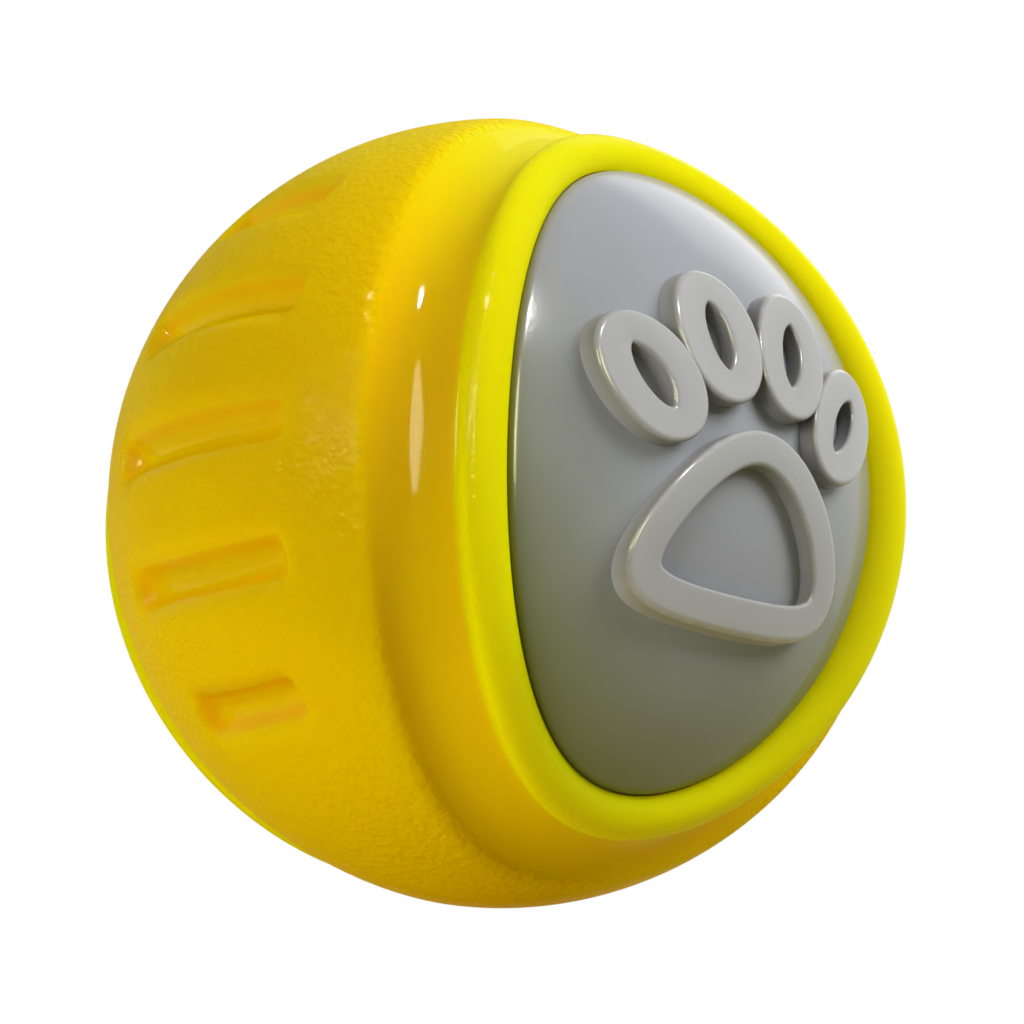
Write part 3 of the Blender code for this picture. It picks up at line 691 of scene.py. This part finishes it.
def raised_paw_print(material):
    """Tree that adds a heel and toes, drawn flat as ribs and then laid on the dome."""
    sizes = {
        "Dome Radius": dome_radius,
        "Rib Height": 2.5 * MM,
        "Rib Top": 2.1 * MM,
        "Rib Foot": 2.6 * MM,
        "Rib Sunk": 0.8 * MM,
        "Rib Round": 0.5 * MM,
        "Heel Half Width": 10.5 * MM,
        "Heel Half Height": 7.5 * MM,
        "Heel Peak": 1.3 * MM,
        "Heel Taper": 0.2,
        "Heel Drop": 9.0 * MM,
        "Toe Count": 4,
        "Toe Half Width": 2.8 * MM,
        "Toe Half Height": 4.9 * MM,
        "Toe Reach": 14.5 * MM,
        "Toe Hub Drop": 4.0 * MM,
        "Toe Pitch": math.radians(35.4),
        "Toe Lean": 0.6,
    }
    tree, body, size = shape_tree("raised paw print", sizes)
    circle = add_node(tree, "GeometryNodeCurvePrimitiveCircle", {"Resolution": 96, "Radius": 1.0})
    ring = circle.outputs["Curve"]
    turn = Term(tree, tree.nodes.new("GeometryNodeSplineParameter").outputs["Factor"]) * math.tau
    heel_x = size["Heel Half Width"] * turn.math("COSINE") * (1.0 - size["Heel Taper"] * turn.math("SINE"))
    peak = size["Heel Peak"] * (turn * 2.0).math("COSINE")
    heel_y = size["Heel Half Height"] * turn.math("SINE") - peak - size["Heel Drop"]
    heel = add_node(tree, "GeometryNodeSetPosition", {
        "Geometry": ring,
        "Position": vector(tree, heel_x, heel_y, 0.0),
    })
    index = Term(tree, tree.nodes.new("GeometryNodeInputIndex").outputs["Index"])
    toe_turn = (index - (size["Toe Count"] - 1.0) / 2.0) * size["Toe Pitch"]
    toe_x = size["Toe Reach"] * toe_turn.math("SINE")
    toe_y = size["Toe Reach"] * toe_turn.math("COSINE") - size["Toe Hub Drop"]
    places = add_node(tree, "GeometryNodePoints", {
        "Count": size["Toe Count"],
        "Position": vector(tree, toe_x, toe_y, 0.0),
    })
    toe_lean = vector(tree, 0.0, 0.0, toe_turn * size["Toe Lean"] * -1.0)
    lean = add_node(tree, "FunctionNodeEulerToRotation", {"Euler": toe_lean})
    toes = add_node(tree, "GeometryNodeInstanceOnPoints", {
        "Points": places.outputs["Geometry"],
        "Instance": ring,
        "Rotation": lean.outputs["Rotation"],
        "Scale": vector(tree, size["Toe Half Width"], size["Toe Half Height"], 1.0),
    })
    lines = tree.nodes.new("GeometryNodeJoinGeometry")
    tree.links.new(heel.outputs["Geometry"], lines.inputs["Geometry"])
    tree.links.new(toes.outputs["Instances"], lines.inputs["Geometry"])
    real_lines = add_node(tree, "GeometryNodeRealizeInstances", {"Geometry": lines.outputs["Geometry"]})
    flat_lines = add_node(tree, "GeometryNodeSetCurveNormal", {
        "Curve": real_lines.outputs["Geometry"],
    }, mode="Z_UP")
    section_height = size["Rib Height"] + size["Rib Sunk"]
    section = add_node(tree, "GeometryNodeCurvePrimitiveQuadrilateral", {
        "Bottom Width": size["Rib Foot"],
        "Top Width": size["Rib Top"],
        "Offset": 0.0,
        "Height": section_height,
    }, mode="TRAPEZOID")
    rounded = add_node(tree, "GeometryNodeFilletCurve", {
        "Curve": section.outputs["Curve"],
        "Count": 7,
        "Radius": size["Rib Round"],
    }, mode="POLY")
    standing = add_node(tree, "GeometryNodeTransform", {"Geometry": rounded.outputs["Curve"]})
    quarter_turn = add_node(tree, "FunctionNodeEulerToRotation", {"Euler": (0.0, 0.0, math.pi / 2)})
    tree.links.new(quarter_turn.outputs["Rotation"], standing.inputs["Rotation"])
    ribs = add_node(tree, "GeometryNodeCurveToMesh", {
        "Curve": flat_lines.outputs["Curve"],
        "Profile Curve": standing.outputs["Geometry"],
    })
    position = tree.nodes.new("GeometryNodeInputPosition").outputs["Position"]
    parts = add_node(tree, "ShaderNodeSeparateXYZ", {"Vector": position})
    flat_x, flat_y, flat_z = (Term(tree, parts.outputs[axis]) for axis in "XYZ")
    height = flat_z + section_height / 2.0 - size["Rib Sunk"]
    top = (height / size["Rib Height"] - 0.6).math("MULTIPLY", 2.5).clamped()
    normal = tree.nodes.new("GeometryNodeInputNormal").outputs["Normal"]
    tilt = Term(tree, add_node(tree, "ShaderNodeSeparateXYZ", {"Vector": normal}).outputs["Z"]).clamped()
    # Marks for the colour: the top edges, paler in patches, the rib tops, painted paler as lit, and the
    # walls, painted darker as shade.
    marks = {
        "edge": tilt * (1.0 - tilt) * 4.0 * top,
        "rib_top": tilt * top,
        "rib_wall": (1.0 - tilt) * (height / size["Rib Height"] * 3.0).clamped(),
    }
    marked = ribs.outputs["Mesh"]
    for mark, value in marks.items():
        marked = store_mark(tree, marked, mark, value)
    radius = size["Dome Radius"] + height
    out = (radius * radius - flat_x * flat_x - flat_y * flat_y).math("SQRT")
    laid = add_node(tree, "GeometryNodeSetPosition", {
        "Geometry": marked,
        "Position": vector(tree, out, flat_x, flat_y),
    })
    both = tree.nodes.new("GeometryNodeJoinGeometry")
    tree.links.new(body, both.inputs["Geometry"])
    tree.links.new(laid.outputs["Geometry"], both.inputs["Geometry"])
    end_tree(tree, both.outputs["Geometry"], material)
    return tree, sizes


def turned_copy(source, name):
    """The same piece at the other side of the ball, turned half round the Z axis."""
    copy = bpy.data.objects.new(name, source.data.copy())
    copy.data.transform(Matrix.Rotation(math.pi, 4, "Z"))
    bpy.context.scene.collection.objects.link(copy)
    return copy


pad_azimuths = [math.tau * column / pad_columns for column in range(pad_columns)]
pad_mesh = closed_loft("press_pad", pad_azimuths, pad_section, ("rim",))
right_pad = shaped_piece("right_press_pad", pad_mesh, *raised_paw_print(grey_rubber()))
left_pad = turned_copy(right_pad, "left_press_pad")
for pad, side in ((right_pad, "right"), (left_pad, "left")):
    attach(pad, f"{side}_pad")
    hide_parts(f"press_pad_{side}")


# Bellows
# A folded tube of cloudy soft vinyl behind each pad holds the air that works the squeaker.
# It is blow-moulded with three folds, and its cuffs are clipped on the plate's collar and the barrel.
def cloudy_vinyl():
    """Soft vinyl that lets some light through and is cloudy in patches."""
    clear_tint = (0.72, 0.68, 0.56, 1.0)
    cloudy_tint = (0.80, 0.78, 0.70, 1.0)
    ripple_depth = 0.02 * MM
    material, tree, shader, place = new_material("cloudy_vinyl")
    cloud = noise(tree, place, scale=120.0, detail=4.0)
    plug(tree, mixed(tree, cloud, clear_tint, cloudy_tint), shader.inputs["Base Color"])
    dulled = use_group(tree, handling, place, "Dulled", patches_per_metre=120.0)
    plug(tree, dulled * 0.2 + 0.2, shader.inputs["Roughness"])
    ripple = noise(tree, place, scale=900.0)
    plug(tree, bumped(tree, ripple, ripple_depth), shader.inputs["Normal"])
    shader.inputs["Transmission Weight"].default_value = 0.35
    return material


def folded_bellows(material):
    """Tree that sweeps a closed, folded wall section round the X axis."""
    sizes = {
        "Start": 5.1 * MM,
        "End": 23.8 * MM,
        "Folds Start": 10.0 * MM,
        "Folds End": 19.1 * MM,
        "Fold Count": 3,
        "Fold Depth": 3.2 * MM,
        "Cuff Radius": 11.3 * MM,
        "Wall": 1.0 * MM,
    }
    tree, _, size = shape_tree("folded bellows", sizes)
    loop = add_node(tree, "GeometryNodeCurvePrimitiveCircle", {"Resolution": 200, "Radius": 1.0})
    share = Term(tree, tree.nodes.new("GeometryNodeSplineParameter").outputs["Factor"])
    there_and_back = 1.0 - (share * 2.0 - 1.0).math("ABSOLUTE")
    along = size["Start"] + (size["End"] - size["Start"]) * there_and_back
    fold_share = ((along - size["Folds Start"]) / (size["Folds End"] - size["Folds Start"])).clamped()
    fold = (1.0 - (fold_share * size["Fold Count"] * math.tau).math("COSINE")) / 2.0
    out = fold * size["Fold Depth"] + share.math("LESS_THAN", 0.5) * size["Wall"]
    wall = add_node(tree, "GeometryNodeSetPosition", {
        "Geometry": loop.outputs["Curve"],
        "Position": vector(tree, along * -1.0, out, 0.0),
    })
    round_path = add_node(tree, "GeometryNodeCurvePrimitiveCircle", {
        "Resolution": 96,
        "Radius": size["Cuff Radius"],
    })
    flat_path = add_node(tree, "GeometryNodeSetCurveNormal", {
        "Curve": round_path.outputs["Curve"],
    }, mode="Z_UP")
    tube = add_node(tree, "GeometryNodeCurveToMesh", {
        "Curve": flat_path.outputs["Curve"],
        "Profile Curve": wall.outputs["Geometry"],
    })
    position = tree.nodes.new("GeometryNodeInputPosition").outputs["Position"]
    parts = add_node(tree, "ShaderNodeSeparateXYZ", {"Vector": position})
    swapped = vector(tree, *(parts.outputs[axis] for axis in "ZXY"))
    laid = add_node(tree, "GeometryNodeSetPosition", {
        "Geometry": tube.outputs["Mesh"],
        "Position": swapped,
    })
    end_tree(tree, laid.outputs["Geometry"], material)
    return tree, sizes


bellows_tree, bellows_sizes = folded_bellows(cloudy_vinyl())
right_bellows = shaped_piece("right_bellows", bpy.data.meshes.new("bellows"), bellows_tree, bellows_sizes)
left_bellows = turned_copy(right_bellows, "left_bellows")
pad_travel = 3.0 * MM
bellows_length = bellows_sizes["End"] - bellows_sizes["Start"]
for bellows, side, sign in ((right_bellows, "right", 1), (left_bellows, "left", -1)):
    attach(bellows, "ball")
    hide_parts(f"bellows_{side}")
    anchor = (sign * bellows_sizes["Start"], 0.0, 0.0)
    1 - pad_travel / bellows_length
    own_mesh(bellows)


# Squeaker works
# Inside the ball a black carrier holds two white barrels with reed plugs, and each pad has a white plate.
# They are plain injection mouldings, and the reeds are rolled brass strips held by steel rivets.
def moulded_plastic(name, colour, worn_colour, roughness):
    """Matt plastic with the fine skin of its mould."""
    skin_depth = 0.015 * MM
    material, tree, shader, place = new_material(name)
    cloud = noise(tree, place, scale=80.0, detail=4.0)
    plug(tree, mixed(tree, cloud, colour, worn_colour), shader.inputs["Base Color"])
    dulled = use_group(tree, handling, place, "Dulled", patches_per_metre=90.0)
    plug(tree, dulled * 0.15 + roughness, shader.inputs["Roughness"])
    cells = use_group(tree, moulded_grain, place, "Height", cells_per_metre=3000.0)
    plug(tree, bumped(tree, cells, skin_depth), shader.inputs["Normal"])
    return material


def rolled_metal(name, colour, dull_colour, roughness):
    """Metal with the fine streaks that rolling leaves."""
    streak_depth = 0.008 * MM
    material, tree, shader, place = new_material(name)
    stretch = add_node(tree, "ShaderNodeMapping", {"Vector": place, "Scale": (1.0, 12.0, 0.6)})
    streaks = noise(tree, stretch.outputs["Vector"], scale=700.0, detail=4.0)
    plug(tree, mixed(tree, streaks, colour, dull_colour), shader.inputs["Base Color"])
    plug(tree, streaks * 0.2 + roughness, shader.inputs["Roughness"])
    plug(tree, bumped(tree, streaks, streak_depth), shader.inputs["Normal"])
    shader.inputs["Metallic"].default_value = 1.0
    return material


white = (0.80, 0.80, 0.77, 1.0)
aged_white = (0.73, 0.72, 0.68, 1.0)
white_plastic = moulded_plastic("white_plastic", white, aged_white, roughness=0.38)
black = (0.028, 0.028, 0.030, 1.0)
greyed_black = (0.045, 0.045, 0.045, 1.0)
black_plastic = moulded_plastic("black_plastic", black, greyed_black, roughness=0.36)
bright_brass = (0.66, 0.45, 0.16, 1.0)
dull_brass = (0.50, 0.33, 0.11, 1.0)
brass = rolled_metal("brass", bright_brass, dull_brass, roughness=0.2)
bright_steel = (0.58, 0.59, 0.61, 1.0)
dull_steel = (0.45, 0.46, 0.48, 1.0)
steel = rolled_metal("steel", bright_steel, dull_steel, roughness=0.25)
works = {
    "carrier": black_plastic,
    "squeaker_barrel": white_plastic,
    "reed_plug": white_plastic,
    "reed": brass,
    "reed_rivet": steel,
    "inner_clip": black_plastic,
    "outer_clip": black_plastic,
    "pad_plate": white_plastic,
}
for name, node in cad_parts.items():
    kind = name.removesuffix("_right").removesuffix("_left")
    if kind in works:
        node.data.materials.clear()
        node.data.materials.append(works[kind])


# Floor
# A broad, pale, matt table top carries the ball and keeps its shadow.
# From below, where the camera is, it is see-through, and the lamps shine through it too.
# The light that it throws back on the ball is dim and straw-coloured.
floor_half_size = 1.5
pale = (0.78, 0.78, 0.78, 1.0)
straw = (0.20, 0.205, 0.07, 1.0)

floor_mesh = bpy.data.meshes.new("floor")
bm = bmesh.new()
bmesh.ops.create_grid(bm, x_segments=1, y_segments=1, size=floor_half_size)
bmesh.ops.translate(bm, verts=bm.verts, vec=(0.0, 0.0, -ball_radius))
bm.to_mesh(floor_mesh)
bm.free()
floor = bpy.data.objects.new("floor", floor_mesh)
bpy.context.scene.collection.objects.link(floor)

table_top, tree, shader, _ = new_material("floor")
shader.inputs["Roughness"].default_value = 1.0
shader.inputs["Specular IOR Level"].default_value = 0.0
path = tree.nodes.new("ShaderNodeLightPath")
plug(tree, mixed(tree, path.outputs["Is Diffuse Ray"], pale, straw), shader.inputs["Base Color"])
clear = tree.nodes.new("ShaderNodeBsdfTransparent")
side = tree.nodes.new("ShaderNodeNewGeometry")
choice = tree.nodes.new("ShaderNodeMixShader")
through = Term(tree, side.outputs["Backfacing"]).math("MAXIMUM", path.outputs["Is Shadow Ray"])
plug(tree, through, choice.inputs["Fac"])
tree.links.new(shader.outputs["BSDF"], choice.inputs[1])
tree.links.new(clear.outputs["BSDF"], choice.inputs[2])
tree.links.new(choice.outputs["Shader"], tree.nodes["Material Output"].inputs["Surface"])
floor_mesh.materials.append(table_top)


# Lights
# Broad soft panels above, beside and behind the ball and a warm glow from the table give its plain light.
# A small lamp and two upright windows near the ball show only as mirrored spots and slivers on the rubber.
panel_distance = 0.8
window_distance = 0.3
table_amber = (1.0, 0.72, 0.3)
pale_yellow = (1.0, 1.0, 0.5)


def soft_light(name, towards, distance, width, height, radiance):
    """Area light in this direction from the ball, facing it, hidden from the camera."""
    data = bpy.data.lights.new(name, "AREA")
    data.shape = "RECTANGLE"
    data.size = width
    data.size_y = height
    data.energy = radiance * math.pi * width * height
    light = bpy.data.objects.new(name, data)
    direction = Vector(towards).normalized()
    light.location = direction * distance
    light.rotation_euler = direction.to_track_quat("Z", "Y").to_euler()
    light.visible_camera = False
    bpy.context.scene.collection.objects.link(light)
    return light


overhead = soft_light("overhead", (0.73, 0.34, 0.59), panel_distance, 0.45, 0.45, radiance=9.5)
side_fill = soft_light("side_fill", (0.2, -0.98, 0.0), panel_distance, 0.5, 0.5, radiance=5.6)
table_glow = soft_light("table_glow", (-0.3, 0.0, -0.95), panel_distance, 0.5, 0.5, radiance=3.2)
table_glow.data.color = table_amber
lamp = soft_light("lamp", (0.5, -0.44, 0.745), panel_distance, 0.09, 0.09, radiance=300.0)
tall_window = soft_light("tall_window", (0.55, -0.815, 0.185), window_distance, 0.055, 0.19, radiance=36.0)
short_window = soft_light("short_window", (0.06, -0.98, 0.2), window_distance, 0.035, 0.1, radiance=60.0)
soft_light("back", (-0.25, 0.65, 0.72), panel_distance, 0.5, 0.4, radiance=1.25)
rear_fill = soft_light("rear_fill", (-0.78, 0.55, 0.25), panel_distance, 0.5, 0.5, radiance=4.5)
for panel in (overhead, side_fill, table_glow, rear_fill):
    panel.visible_glossy = False
for mirrored in (lamp, tall_window, short_window):
    mirrored.visible_diffuse = False
for window in (tall_window, short_window):
    window.data.shape = "ELLIPSE"
    window.data.color = pale_yellow


# Backdrop
# It is white to the camera and in what the ball mirrors or lets through, and a dim even grey as light.
# The view transform is the plain one, so that a colour comes out about as it is written.
dim_grey = (0.11, 0.11, 0.11, 1.0)
backdrop_white = (1.0, 1.0, 1.0, 1.0)

world = bpy.data.worlds.new("studio")
bpy.context.scene.world = world
world.use_nodes = True
tree = world.node_tree
backdrop = tree.nodes["Background"]
path = tree.nodes.new("ShaderNodeLightPath")
straight = Term(tree, path.outputs["Is Camera Ray"]) + path.outputs["Is Glossy Ray"]
straight = (straight + path.outputs["Is Transmission Ray"]).clamped()
level = mixed(tree, straight, dim_grey, backdrop_white)
tree.links.new(level, backdrop.inputs["Color"])
bpy.context.scene.view_settings.view_transform = "Standard"
